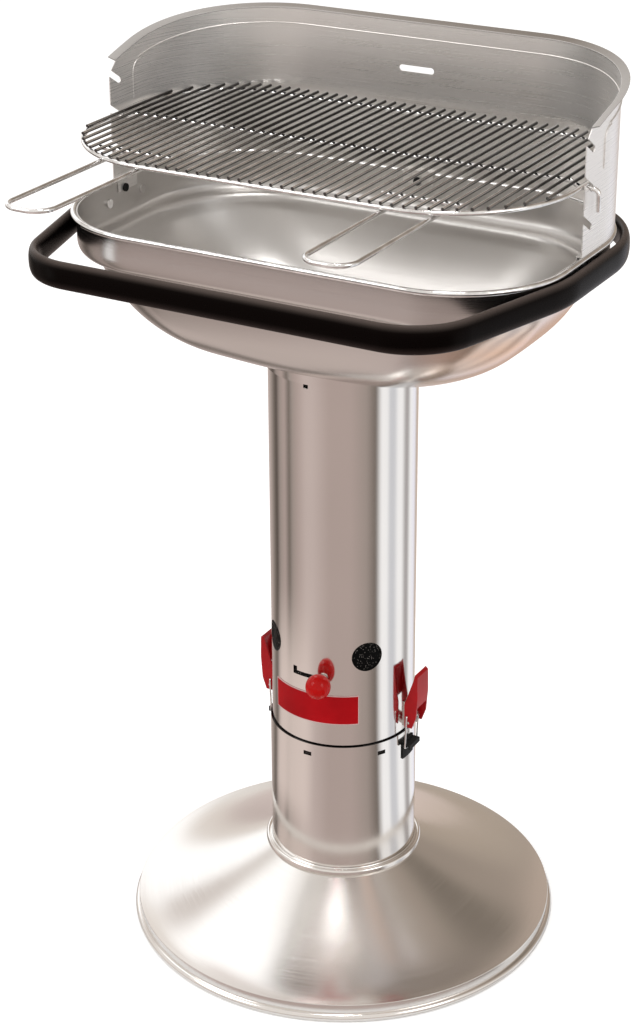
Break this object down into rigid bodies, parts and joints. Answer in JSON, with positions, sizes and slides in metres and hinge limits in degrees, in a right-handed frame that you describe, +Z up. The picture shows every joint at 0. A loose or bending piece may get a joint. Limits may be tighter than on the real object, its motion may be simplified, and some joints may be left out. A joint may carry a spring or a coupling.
{
  "type": "charcoal grill",
  "caption": "Pedestal charcoal grill: dished foot, round two-part column with toggle clips and air valve, oblong bowl, wind shield, hand rail and wire cooking grate.",
  "frame": {"origin": "on the floor under the middle of the column, in the plane of the foot's flattened edge", "axes": "+Z up along the column, +X to the right of the user, front with the grate's handles towards -Y"},
  "size_m": [0.573, 0.571, 1.0108],
  "materials": {
    "steel": "satin spun and brushed stainless steel",
    "plain_steel": "plain steel, out of sight",
    "chrome": "bright plated wire and fittings",
    "red_lever": "gloss red lacquer on pressed steel",
    "red_plate": "gloss red lacquer with a thin white border, bare",
    "red_knob": "deep glossy red",
    "rail": "near-black satin lacquer",
    "enamel": "speckled black enamel",
    "black_keeper": "satin black"
  },
  "bodies": {
    "stand": {"foot_dish": "steel", "foot_edge": "steel", "foot_neck": "steel", "foot_clamp": "plain_steel", "foot_screw_1": "plain_steel", "foot_screw_2": "plain_steel", "foot_screw_3": "plain_steel", "foot_screw_4": "plain_steel", "lower_column": "steel", "ash_pail": "plain_steel", "upper_column": "steel", "name_plate": "red_plate", "clip_base_left": "chrome", "clip_base_right": "chrome", "clip_pin_left": "chrome", "clip_pin_right": "chrome", "clip_keeper_left": "black_keeper", "clip_keeper_right": "black_keeper", "bowl_neck": "steel", "neck_screw_1": "plain_steel", "neck_screw_2": "plain_steel", "neck_screw_3": "plain_steel", "neck_screw_4": "plain_steel", "bowl": "steel", "bowl_rim": "steel", "wind_shield": "steel", "shield_hem": "steel", "shield_bolt_left": "plain_steel", "shield_bolt_right": "plain_steel", "shield_bolt_back": "plain_steel", "hand_rail": "rail", "rail_mount_left_front": "chrome", "rail_mount_left_back": "chrome", "rail_mount_right_front": "chrome", "rail_mount_right_back": "chrome"},
    "valve": {"air_sleeve": "enamel", "valve_stem": "chrome", "valve_ferrule": "chrome", "valve_knob": "red_knob"},
    "lever_left": {"clip_lever_left": "red_lever"},
    "lever_right": {"clip_lever_right": "red_lever"},
    "bail_left": {"clip_bail_left": "chrome"},
    "bail_right": {"clip_bail_right": "chrome"},
    "cooking_grate": {"grate_frame": "chrome", "grate_rods": "chrome", "cross_rod": "chrome", "short_rod_left": "chrome", "short_rod_right": "chrome", "handle_left": "chrome", "handle_right": "chrome"},
    "charcoal_grate": {"charcoal_grate": "plain_steel"}
  },
  "joints": [
    {"name": "air_valve", "type": "hinge", "parent": "stand", "child": "valve", "pos_m": [0, 0, 0.3375], "axis": [0, 0, -1], "range_deg": [0, 25]},
    {"name": "lever_left_pivot", "type": "hinge", "parent": "stand", "child": "lever_left", "pos_m": [-0.09, 0, 0.268], "axis": [0, -1, 0], "range_deg": [0, 90]},
    {"name": "bail_left_pivot", "type": "hinge", "parent": "lever_left", "child": "bail_left", "pos_m": [-0.089, 0, 0.276], "axis": [0, -1, 0], "range_deg": [-77, 0]},
    {"name": "lever_right_pivot", "type": "hinge", "parent": "stand", "child": "lever_right", "pos_m": [0.09, 0, 0.268], "axis": [0, 1, 0], "range_deg": [0, 90]},
    {"name": "bail_right_pivot", "type": "hinge", "parent": "lever_right", "child": "bail_right", "pos_m": [0.089, 0, 0.276], "axis": [0, 1, 0], "range_deg": [-77, 0]},
    {"name": "grate_slide", "type": "slide", "parent": "stand", "child": "cooking_grate", "axis": [0, -0.8387, 0.5446], "range_m": [0, 0.025]},
    {"name": "charcoal_lift", "type": "slide", "parent": "stand", "child": "charcoal_grate", "axis": [0, 0, 1], "range_m": [0, 0.02]}
  ],
  "couplings": [
    {"joint": "bail_left_pivot", "follows": "lever_left_pivot", "ratio": -0.85},
    {"joint": "bail_right_pivot", "follows": "lever_right_pivot", "ratio": -0.85}
  ]
}
